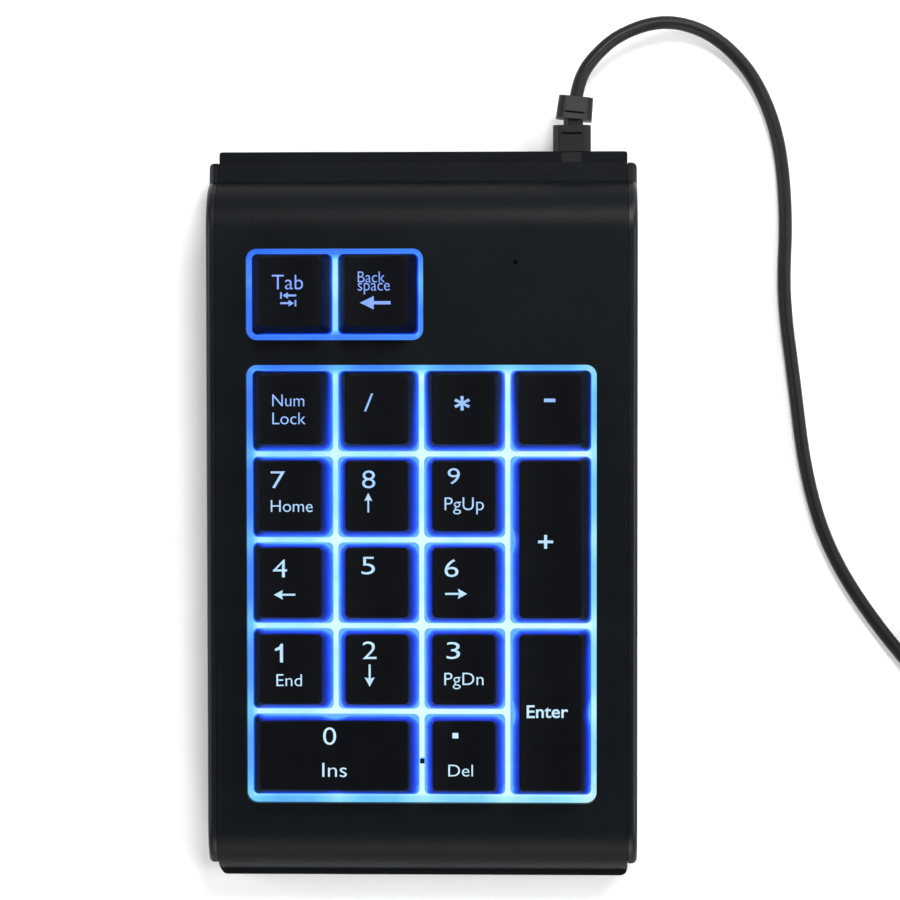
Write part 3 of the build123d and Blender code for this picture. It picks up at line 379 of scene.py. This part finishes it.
finishes["acrylic_clear"] = clear("acrylic_clear", (0.80, 0.90, 0.97, 1.0), 0.1, 0.85)


# Keycaps: fine matt tops. The skirts carry painted light: an emitted blue stands in for the light from
# under the keys, which climbs the skirts and dies out towards the top, brightest where the gaps cross.
KEYCAP_COLOUR = (0.0016, 0.0022, 0.0034)
SKIRT_PAINTED_LIGHT = [
    (0.0, linear(92, 172, 252)),
    (0.12, linear(50, 118, 252)),
    (0.35, linear(24, 72, 245)),
    (0.55, linear(14, 42, 205)),
    (0.75, linear(8, 22, 132)),
    (0.92, linear(5, 12, 78)),
    (1.0, linear(3, 7, 34)),
]
# The skirt's painted light ends where the cap turns over: DECK_UP facing from and to.
TOP_EDGE_FACING = (0.35, 0.75)

# How far up the skirts the painted light reaches, as a share of the skirt, and the deck
# places in millimetres between which that share changes.
REACH_REAR = 0.26
REACH_REAR_V = (10.0, 40.0)
REACH_SIDE = 0.34
REACH_SIDE_X = (34.6, 36.2)
REACH_LOW_RIGHT = 0.5
REACH_LOW_V = (-20.0, -32.0)
REACH_RIGHT_X = (0.0, 1.0)
REACH_FRONT = 0.55
REACH_FRONT_V = (-60.2, -61.4)

# What the painted light gains on the skirts near a crossing, on rear sides and on left sides.
SKIRT_CROSSING_REACH = 3.2
SKIRT_CROSSING_GAIN = 0.6
REAR_SIDE_GAIN = 0.22
LEFT_SIDE_GAIN = 0.2
LEFTWARD = Vector((-1.0, 0.0, 0.0))


def painted_light_reach(tree, x, v):
    """How far up the skirts the painted light climbs: least in the rear window and beside the frame."""
    rows = stretched(tree, v, *REACH_REAR_V, 1.0, REACH_REAR)
    low = stretched(tree, v, *REACH_LOW_V, 0.0, REACH_LOW_RIGHT)
    right = stretched(tree, x, *REACH_RIGHT_X, 0.0, 1.0)
    right_and_low = computed(tree, "MULTIPLY", low, right)
    beside_frame = computed(tree, "ADD", right_and_low, REACH_SIDE)
    off_centre = computed(tree, "ABSOLUTE", x)
    sides = stretched(tree, off_centre, *REACH_SIDE_X, 1.0, beside_frame)
    front = stretched(tree, v, *REACH_FRONT_V, 1.0, REACH_FRONT)
    return computed(tree, "MULTIPLY", computed(tree, "MULTIPLY", rows, sides), front)


def keycap_finish():
    made, tree, shader, place = moulded(
        "keycap_black", KEYCAP_COLOUR, 0.46, 0.28, 0.01, specular=0.06, variation=0.1, patch=6.0
    )
    x, v, w = deck_places(tree, place)
    climbed = stretched(tree, w, SKIRT_BOTTOM, CAP_TOP, 0.0, 1.0)
    reach = painted_light_reach(tree, x, v)
    lowered = computed(tree, "DIVIDE", climbed, reach)
    crossing = near_crossing(tree, x, v, SKIRT_CROSSING_REACH)
    crossing = computed(tree, "MULTIPLY", crossing, SKIRT_CROSSING_GAIN)
    lowered = computed(tree, "SUBTRACT", lowered, computed(tree, "MULTIPLY", crossing, reach))
    # Painted light: rear-facing and left-facing skirts are painted brighter.
    rear_side = computed(tree, "MULTIPLY", facing(tree, DECK_ALONG), REAR_SIDE_GAIN, clamp=True)
    lowered = computed(tree, "SUBTRACT", lowered, computed(tree, "MULTIPLY", rear_side, reach))
    left_side = computed(tree, "MULTIPLY", facing(tree, LEFTWARD), LEFT_SIDE_GAIN, clamp=True)
    left_side = computed(tree, "MULTIPLY", left_side, reach)
    lowered = computed(tree, "SUBTRACT", lowered, left_side, clamp=True)
    # Painted light: the skirts emit a blue that fades up from the deck, standing in for the light from
    # under the keys.
    tree.links.new(ramp(tree, lowered, SKIRT_PAINTED_LIGHT), shader.inputs["Emission Color"])
    skirt = stretched(tree, facing(tree, DECK_UP), *TOP_EDGE_FACING, 1.0, 0.0)
    painted_light_streaks = stretched(tree, noise(tree, place, 5.0), 0.3, 0.7, 0.85, 1.15)
    strength = computed(tree, "MULTIPLY", skirt, painted_light_streaks)
    tree.links.new(strength, shader.inputs["Emission Strength"])
    return made


finishes["keycap_black"] = keycap_finish()


# The white guide plate under the keys, lit from below: palest where gaps cross and
# towards the right and the front, bluer along the window's frame.
GUIDE_GLOW = [
    (0.0, linear(36, 86, 240)),
    (0.3, linear(62, 132, 250)),
    (0.55, linear(108, 200, 255)),
    (0.8, linear(170, 238, 252)),
    (1.0, linear(216, 253, 250)),
]
PALE_LEVEL = 0.78
PALER_TO_RIGHT = 0.004
BLUER_TO_REAR = 0.0024
PLATE_CROSSING_REACH = 6.0
PLATE_CROSSING_GAIN = 0.2
# The frame line ends between these distances from the window's edge, in millimetres,
# and the level goes from the first of these amounts to the second.
FRAME_LINE_WIDTH = (0.9, 2.4)
FRAME_LINE_LEVEL = (-0.36, 0.08)


def from_edge(tree, x, v, window):
    """Distance from a window's edge in millimetres, below 0 outside the window."""
    away = []
    for spot, middle, across in ((x, window[0], window[2]), (v, window[1], window[3])):
        offset = computed(tree, "ABSOLUTE", computed(tree, "SUBTRACT", spot, middle))
        away.append(computed(tree, "SUBTRACT", across / 2, offset))
    return computed(tree, "MINIMUM", *away)


def guide_finish():
    made, tree, shader, place = moulded(
        "guide_white", (0.05, 0.07, 0.10), 0.6, 0.5, 0.01, specular=0.2
    )
    x, v, w = deck_places(tree, place)
    level = computed(tree, "ADD", computed(tree, "MULTIPLY", x, PALER_TO_RIGHT), PALE_LEVEL)
    level = computed(tree, "SUBTRACT", level, computed(tree, "MULTIPLY", v, BLUER_TO_REAR))
    crossing = near_crossing(tree, x, v, PLATE_CROSSING_REACH)
    crossing = computed(tree, "MULTIPLY", crossing, PLATE_CROSSING_GAIN)
    level = computed(tree, "ADD", level, crossing)
    to_frame = [from_edge(tree, x, v, window) for window in (MAIN_WINDOW, SMALL_WINDOW)]
    nearest = computed(tree, "MAXIMUM", *to_frame)
    inside = stretched(tree, nearest, *FRAME_LINE_WIDTH, *FRAME_LINE_LEVEL)
    level = computed(tree, "ADD", level, inside, clamp=True)
    tree.links.new(ramp(tree, level, GUIDE_GLOW), shader.inputs["Emission Color"])
    strength = stretched(tree, noise(tree, place, 4.0), 0.3, 0.7, 0.92, 1.08)
    tree.links.new(strength, shader.inputs["Emission Strength"])
    return made


finishes["guide_white"] = guide_finish()


def lamp_finish(name, colour, glow, strength):
    """A small lamp or lens: milky, with its own light."""
    made, tree, shader, place = new_finish(name, 0.5)
    milky = noise(tree, place, 0.8)
    tint = ramp(tree, milky, [(0.3, scaled(colour, 0.85)), (0.7, colour)])
    tree.links.new(tint, shader.inputs["Base Color"])
    rough = stretched(tree, milky, 0.3, 0.7, 0.2, 0.35)
    tree.links.new(rough, shader.inputs["Roughness"])
    shader.inputs["Emission Color"].default_value = glow
    shader.inputs["Emission Strength"].default_value = strength
    bumped(tree, shader, [(milky, 0.01, 0.3)])
    return made


finishes["light_blue"] = lamp_finish("light_blue", (0.5, 0.6, 0.7, 1.0), linear(90, 150, 255), 1.5)
finishes["light_lens"] = lamp_finish("light_lens", (0.06, 0.07, 0.09, 1.0), linear(10, 20, 60), 0.2)


def board_finish():
    """A circuit board: green lacquer over copper tracks."""
    made, tree, shader, place = new_finish("board_green", 0.5)
    tracks = shaded(
        tree,
        "ShaderNodeTexBrick",
        {
            "Vector": place,
            "Color1": (0.012, 0.085, 0.035, 1.0),
            "Color2": (0.016, 0.105, 0.045, 1.0),
            "Mortar": (0.035, 0.17, 0.07, 1.0),
            "Scale": 260.0,
            "Mortar Size": 0.03,
        },
    )
    tree.links.new(tracks.outputs["Color"], shader.inputs["Base Color"])
    rough = stretched(tree, noise(tree, place, 3.0), 0.3, 0.7, 0.25, 0.4)
    tree.links.new(rough, shader.inputs["Roughness"])
    bumped(tree, shader, [(tracks.outputs["Fac"], 0.03, 0.4)])
    return made


finishes["board_green"] = board_finish()

for name in sorted(cad_nodes):
    for material_slot in cad_nodes[name].material_slots:
        material_slot.material = finishes[material_slot.material.name.split(".")[0]]
cable_line.materials.append(finishes["cable_black"])


# ------------------------------------------------------------------ legends
# Generic key legends, lit through the caps. A mark is (kind, what, left, bottom,
# width, height) in millimetres from the middle of its key.
LEGEND_GLOW = [
    (0.0, linear(204, 238, 255)),
    (0.45, linear(186, 226, 255)),
    (0.75, linear(140, 184, 255)),
    (1.0, linear(118, 156, 255)),
]
LEGEND_V_RANGE = (-58.0, 50.0)
LEGEND_PROUD = 0.03
LEGEND_SUNK = 0.06
LEGEND_LONGEST_EDGE = 0.9
COLUMNS = (-1.5 * PITCH, -0.5 * PITCH, 0.5 * PITCH, 1.5 * PITCH)
ROWS = (48.8, 23.05, 4.0, -15.05, -34.1, -53.15)

ARROW_THIN = [
    (0.0, 0.5),
    (0.42, 1.0),
    (0.37, 0.6),
    (1.0, 0.6),
    (1.0, 0.4),
    (0.37, 0.4),
    (0.42, 0.0),
]
ARROW_THICK = [
    (0.0, 0.5),
    (0.45, 1.0),
    (0.45, 0.62),
    (1.0, 0.62),
    (1.0, 0.38),
    (0.45, 0.38),
    (0.45, 0.0),
]
BAR = [(0.0, 0.0), (1.0, 0.0), (1.0, 1.0), (0.0, 1.0)]
TAB_ARROW = [
    (0.14, 0.77),
    (0.48, 1.0),
    (0.48, 0.84),
    (1.0, 0.84),
    (1.0, 0.70),
    (0.48, 0.70),
    (0.48, 0.54),
]
TAB_STOP = [(0.0, 0.54), (0.1, 0.54), (0.1, 1.0), (0.0, 1.0)]


def turned_about(outline):
    """An outline in its unit box, turned half round."""
    return [(1 - across, 1 - up) for across, up in outline]


def mirrored(outline):
    return [(1 - across, up) for across, up in reversed(outline)]


def upright(outline):
    """A leftward outline, pointing up instead."""
    return [(1 - up, 1 - across) for across, up in reversed(outline)]


def plus_outline(arm):
    low, high = 0.5 - arm, 0.5 + arm
    return [
        (low, 0.0),
        (high, 0.0),
        (high, low),
        (1.0, low),
        (1.0, high),
        (high, high),
        (high, 1.0),
        (low, 1.0),
        (low, high),
        (0.0, high),
        (0.0, low),
        (low, low),
    ]


def star_outline(points, inner):
    """A star with blunt arms, as an asterisk is printed."""
    made = []
    for arm in range(points):
        middle = math.pi / 2 + 2 * math.pi * arm / points
        for offset, radius in ((-0.2, 0.5), (0.2, 0.5), (math.pi / points, inner)):
            angle = middle + offset
            made.append((0.5 + radius * math.cos(angle), 0.5 + radius * math.sin(angle)))
    return made


ONE = [
    (0.62, 0.0),
    (1.0, 0.0),
    (1.0, 1.0),
    (0.72, 1.0),
    (0.5, 0.84),
    (0.0, 0.74),
    (0.0, 0.62),
    (0.62, 0.68),
]
SHAPES = {
    "one": [ONE],
    "left": [ARROW_THIN],
    "right": [mirrored(ARROW_THIN)],
    "up": [upright(ARROW_THIN)],
    "down": [turned_about(upright(ARROW_THIN))],
    "thick_left": [ARROW_THICK],
    "bar": [BAR],
    "plus": [plus_outline(0.1)],
    "star": [star_outline(6, 0.16)],
    "tab": [TAB_ARROW, TAB_STOP, turned_about(TAB_ARROW), turned_about(TAB_STOP)],
}

KEYS = {
    "key_tab": (
        COLUMNS[0],
        ROWS[0],
        [("text", "Tab", -3.8, 1.0, 6.8, 3.2), ("tab", "", -2.0, -2.7, 3.5, 3.1)],
    ),
    "key_backspace": (
        COLUMNS[1],
        ROWS[0],
        [
            ("text", "Back", -4.05, 2.5, 5.9, 2.4),
            ("text", "space", -4.05, -0.1, 7.0, 2.5),
            ("thick_left", "", -3.6, -3.4, 6.7, 2.95),
        ],
    ),
    "key_num_lock": (
        COLUMNS[0],
        ROWS[1],
        [("text", "Num", -3.8, 1.2, 7.0, 2.6), ("text", "Lock", -3.8, -2.75, 7.3, 2.6)],
    ),
    "key_divide": (COLUMNS[1], ROWS[1], [("text", "/", -2.75, 0.1, 2.0, 3.9)]),
    "key_multiply": (COLUMNS[2], ROWS[1], [("star", "", -2.1, 0.3, 3.5, 3.1)]),
    "key_minus": (COLUMNS[3], ROWS[1], [("bar", "", -1.5, 2.1, 2.5, 0.76)]),
    "key_7": (
        COLUMNS[0],
        ROWS[2],
        [("text", "7", -4.2, 2.3, 3.1, 3.7), ("text", "Home", -4.2, -2.9, 9.2, 2.6)],
    ),
    "key_8": (
        COLUMNS[1],
        ROWS[2],
        [("text", "8", -3.2, 2.3, 2.85, 3.9), ("up", "", -2.75, -3.0, 1.75, 4.3)],
    ),
    "key_9": (
        COLUMNS[2],
        ROWS[2],
        [("text", "9", -3.5, 3.2, 2.65, 3.5), ("text", "PgUp", -4.2, -3.4, 8.6, 3.7)],
    ),
    "key_4": (
        COLUMNS[0],
        ROWS[3],
        [("text", "4", -3.8, 1.8, 3.1, 3.9), ("left", "", -3.6, -3.1, 4.7, 2.1)],
    ),
    "key_5": (COLUMNS[1], ROWS[3], [("text", "5", -3.4, 2.45, 2.95, 3.85)]),
    "key_6": (
        COLUMNS[2],
        ROWS[3],
        [("text", "6", -4.2, 1.9, 3.0, 3.9), ("right", "", -4.1, -2.9, 4.8, 2.2)],
    ),
    "key_plus": (COLUMNS[3], (ROWS[2] + ROWS[3]) / 2, [("plus", "", -2.8, -1.4, 3.3, 3.0)]),
    "key_1": (
        COLUMNS[0],
        ROWS[4],
        [("one", "", -3.4, 2.1, 1.75, 4.1), ("text", "End", -3.1, -3.1, 5.6, 2.6)],
    ),
    "key_2": (
        COLUMNS[1],
        ROWS[4],
        [("text", "2", -3.2, 2.9, 3.05, 3.85), ("down", "", -2.75, -3.2, 2.2, 4.9)],
    ),
    "key_3": (
        COLUMNS[2],
        ROWS[4],
        [("text", "3", -3.8, 2.95, 2.95, 3.7), ("text", "PgDn", -4.3, -3.7, 8.6, 3.6)],
    ),
    "key_0": (
        (COLUMNS[0] + COLUMNS[1]) / 2,
        ROWS[5],
        [("text", "0", -2.4, 3.0, 2.85, 3.85), ("text", "Ins", -2.6, -4.1, 5.4, 3.1)],
    ),
    "key_decimal": (
        COLUMNS[2],
        ROWS[5],
        [("bar", "", -2.55, 4.5, 1.3, 1.2), ("text", "Del", -3.45, -3.9, 5.4, 2.6)],
    ),
    "key_enter": (COLUMNS[3], (ROWS[4] + ROWS[5]) / 2, [("bold", "Enter", -5.3, -0.5, 9.1, 2.85)]),
}
TEXT_WEIGHT = {"text": -0.006, "bold": 0.012}


def legend_finish():
    """Milky lettering with the light of the key under it, bluer towards the rear."""
    made, tree, shader, place = new_finish("legend_light", 0.3)
    x, v, w = deck_places(tree, place)
    along = stretched(tree, v, LEGEND_V_RANGE[0], LEGEND_V_RANGE[1], 0.0, 1.0)
    tree.links.new(ramp(tree, along, LEGEND_GLOW), shader.inputs["Emission Color"])
    uneven = noise(tree, place, 1.6)
    tree.links.new(stretched(tree, uneven, 0.3, 0.7, 0.78, 1.0), shader.inputs["Emission Strength"])
    tint = ramp(tree, uneven, [(0.3, (0.04, 0.06, 0.09, 1.0)), (0.7, (0.06, 0.08, 0.11, 1.0))])
    tree.links.new(tint, shader.inputs["Base Color"])
    tree.links.new(stretched(tree, uneven, 0.3, 0.7, 0.4, 0.5), shader.inputs["Roughness"])
    bumped(tree, shader, [(uneven, 0.005, 0.3)])
    return made


finishes["legend_light"] = legend_finish()


def lettering(words, weight):
    """The flat faces of some words in the built-in font, as a bmesh."""
    line = bpy.data.curves.new("lettering", "FONT")
    line.body = words
    line.offset = weight
    line.resolution_u = 5
    writer = bpy.data.objects.new("lettering", line)
    bpy.context.scene.collection.objects.link(writer)
    bpy.context.view_layer.update()
    drawn = bpy.data.meshes.new_from_object(writer.evaluated_get(bpy.context.evaluated_depsgraph_get()))
    made = bmesh.new()
    made.from_mesh(drawn)
    bpy.data.meshes.remove(drawn)
    bpy.data.objects.remove(writer)
    bpy.data.curves.remove(line)
    bmesh.ops.remove_doubles(made, verts=made.verts, dist=1e-5)
    return made


def outlined(outlines):
    """The flat faces of some outlines drawn in a unit box, as a bmesh."""
    made = bmesh.new()
    for outline in outlines:
        made.faces.new([made.verts.new((across, up, 0.0)) for across, up in outline])
    return made


def fitted(made, left, bottom, width, height):
    """Stretches flat faces to fill a box."""
    low = [min(vert.co[axis] for vert in made.verts) for axis in (0, 1)]
    high = [max(vert.co[axis] for vert in made.verts) for axis in (0, 1)]
    for vert in made.verts:
        vert.co.x = left + width * (vert.co.x - low[0]) / (high[0] - low[0])
        vert.co.y = bottom + height * (vert.co.y - low[1]) / (high[1] - low[1])


def divided(made):
    """Cuts the faces up until no edge is too long to follow the dished top."""
    made.normal_update()
    bmesh.ops.triangulate(made, faces=made.faces)
    for _ in range(4):
        long_edges = [edge for edge in made.edges if edge.calc_length() > LEGEND_LONGEST_EDGE]
        if not long_edges:
            break
        bmesh.ops.subdivide_edges(made, edges=long_edges, cuts=1)
        bmesh.ops.triangulate(made, faces=made.faces)


def add_solid(made, surface, middle, places, faces):
    """Lays the flat faces on the key's top, and gives them a thickness."""
    for face in made.faces:
        if face.normal.z < 0:
            face.normal_flip()
    index = {}
    for vert in made.verts:
        above = on_deck(middle[0] + vert.co.x, middle[1] + vert.co.y, 2 * CAP_TOP)
        hit = surface.ray_cast(above, -DECK_UP)[0]
        index[vert] = len(places)
        places.append(hit + DECK_UP * LEGEND_PROUD * MM)
        places.append(hit - DECK_UP * LEGEND_SUNK * MM)
    for face in made.faces:
        tops = [index[vert] for vert in face.verts]
        faces.append(tops)
        faces.append([top + 1 for top in reversed(tops)])
    for edge in made.edges:
        if len(edge.link_faces) == 1:
            loop = edge.link_loops[0]
            first, second = index[loop.vert], index[loop.link_loop_next.vert]
            faces.append([second, first, first + 1, second + 1])


def add_legend(key_name):
    """All the marks on one key, as one thin piece that rides on it."""
    x, v, marks = KEYS[key_name]
    key_mesh = cad_nodes[key_name].data
    surface = BVHTree.FromPolygons(
        [vert.co.copy() for vert in key_mesh.vertices],
        [list(face.vertices) for face in key_mesh.polygons],
    )
    places, faces = [], []
    for kind, words, left, bottom, width, height in marks:
        if kind in TEXT_WEIGHT:
            made = lettering(words, TEXT_WEIGHT[kind])
        else:
            made = outlined(SHAPES[kind])
        fitted(made, left, bottom, width, height)
        divided(made)
        made.normal_update()
        add_solid(made, surface, (x, v), places, faces)
        made.free()
    mesh = bpy.data.meshes.new("legend_" + key_name[4:])
    mesh.from_pydata(places, [], faces)
    mesh.update()
    mesh.materials.append(finishes["legend_light"])
    legend = bpy.data.objects.new(mesh.name, mesh)
    bpy.context.scene.collection.objects.link(legend)
    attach(legend, key_name)


for key_name in KEYS:
    add_legend(key_name)


# ------------------------------------------------------------------ stub
# A small bridge across the gap between 0 and the decimal point. It is in the
# photograph; what it is there for is not known.
STUB_V = (-55.4, -54.3)
STUB_W = (-3.9, -1.2)
STUB_HALF_WIDTH = 0.5
STUB_FRONT_DROP = 0.3
STUB_REAR_DROP = 0.4
STUB_BEVEL = 0.08


def add_stub():
    made = bmesh.new()
    middle_v = (STUB_V[0] + STUB_V[1]) / 2
    profile = [
        (STUB_V[0], STUB_W[0]),
        (STUB_V[1], STUB_W[0]),
        (STUB_V[1], STUB_W[1] - STUB_REAR_DROP),
        (middle_v, STUB_W[1]),
        (STUB_V[0], STUB_W[1] - STUB_FRONT_DROP),
    ]
    ends = []
    for x in (-STUB_HALF_WIDTH, STUB_HALF_WIDTH):
        ends.append([made.verts.new(on_deck(x, v, w)) for v, w in profile])
    made.faces.new(list(reversed(ends[0])))
    made.faces.new(ends[1])
    for index in range(len(profile)):
        after = (index + 1) % len(profile)
        made.faces.new((ends[0][index], ends[0][after], ends[1][after], ends[1][index]))
    bmesh.ops.recalc_face_normals(made, faces=made.faces)
    bmesh.ops.bevel(made, geom=made.edges[:], offset=STUB_BEVEL * MM, segments=2, affect="EDGES")
    mesh = bpy.data.meshes.new("gap_stub")
    made.to_mesh(mesh)
    made.free()
    # The stub takes the keycap finish, so it carries the same painted blue light as the skirts.
    mesh.materials.append(finishes["keycap_black"])
    stub = bpy.data.objects.new("gap_stub", mesh)
    bpy.context.scene.collection.objects.link(stub)
    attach(stub, "case")


add_stub()


# ------------------------------------------------------------------ studio
FLOOR_RADIUS = 6.0
FLOOR_SEGMENTS = 96


def add_floor():
    """A plain pale floor, wider than any view of the keypad."""
    made = bmesh.new()
    bmesh.ops.create_circle(made, cap_ends=True, segments=FLOOR_SEGMENTS, radius=FLOOR_RADIUS)
    mesh = bpy.data.meshes.new("floor")
    made.to_mesh(mesh)
    made.free()
    floor = bpy.data.objects.new("floor", mesh)
    bpy.context.scene.collection.objects.link(floor)
    finish, tree, shader, place = new_finish("floor_white", 0.1)
    paper = noise(tree, place, 30.0)
    tint = ramp(tree, paper, [(0.3, (0.90, 0.90, 0.90, 1.0)), (0.7, (0.93, 0.93, 0.93, 1.0))])
    tree.links.new(tint, shader.inputs["Base Color"])
    shader.inputs["Roughness"].default_value = 0.9
    mesh.materials.append(finish)


add_floor()


def add_softbox(name, place, aim, size, power):
    """A square soft light."""
    light = bpy.data.lights.new(name, "AREA")
    light.shape = "SQUARE"
    light.size = size
    light.energy = power
    made = bpy.data.objects.new(name, light)
    made.location = place
    made.rotation_euler = (Vector(aim) - Vector(place)).to_track_quat("-Z", "Y").to_euler()
    made.visible_camera = False
    bpy.context.scene.collection.objects.link(made)


OBJECT_MIDDLE = (0.02, 0.01, 0.02)
REAR_EDGE = (0.03, 0.07, 0.02)
# Each light's name, place and aim in metres, size in metres and power in watts.
SOFTBOXES = [
    ("light_left", (-1.3, 0.1, 0.95), OBJECT_MIDDLE, 0.8, 13.0),
    ("light_right", (1.3, -0.2, 1.0), OBJECT_MIDDLE, 0.8, 14.0),
    ("light_front", (0.1, -1.4, 0.9), OBJECT_MIDDLE, 0.8, 12.0),
    ("light_rear", (0.9, 1.1, 0.85), OBJECT_MIDDLE, 0.6, 12.0),
    ("light_crest", (0.135, 0.42, 0.62), REAR_EDGE, 0.2, 3.6),
]
for softbox in SOFTBOXES:
    add_softbox(*softbox)

ZENITH = 0.10
HORIZON = 0.85
BETWEEN = (0.45, 0.45, 0.46, 1.0)
BETWEEN_HEIGHT = 0.35
ZENITH_HEIGHT = 0.75
ZENITH_BLUE = 1.1
world = bpy.data.worlds.new("studio")
world.use_nodes = True
bpy.context.scene.world = world
sky = world.node_tree
direction = shaded(sky, "ShaderNodeTexCoord", {}).outputs["Generated"]
height = shaded(sky, "ShaderNodeSeparateXYZ", {"Vector": direction}).outputs["Z"]
glow = ramp(
    sky,
    height,
    [
        (0.0, (HORIZON, HORIZON, HORIZON, 1.0)),
        (BETWEEN_HEIGHT, BETWEEN),
        (ZENITH_HEIGHT, (ZENITH, ZENITH, ZENITH * ZENITH_BLUE, 1.0)),
    ],
)
sky.links.new(glow, sky.nodes["Background"].inputs["Color"])
bpy.context.scene.view_settings.view_transform = "Standard"

bpy.context.view_layer.update()
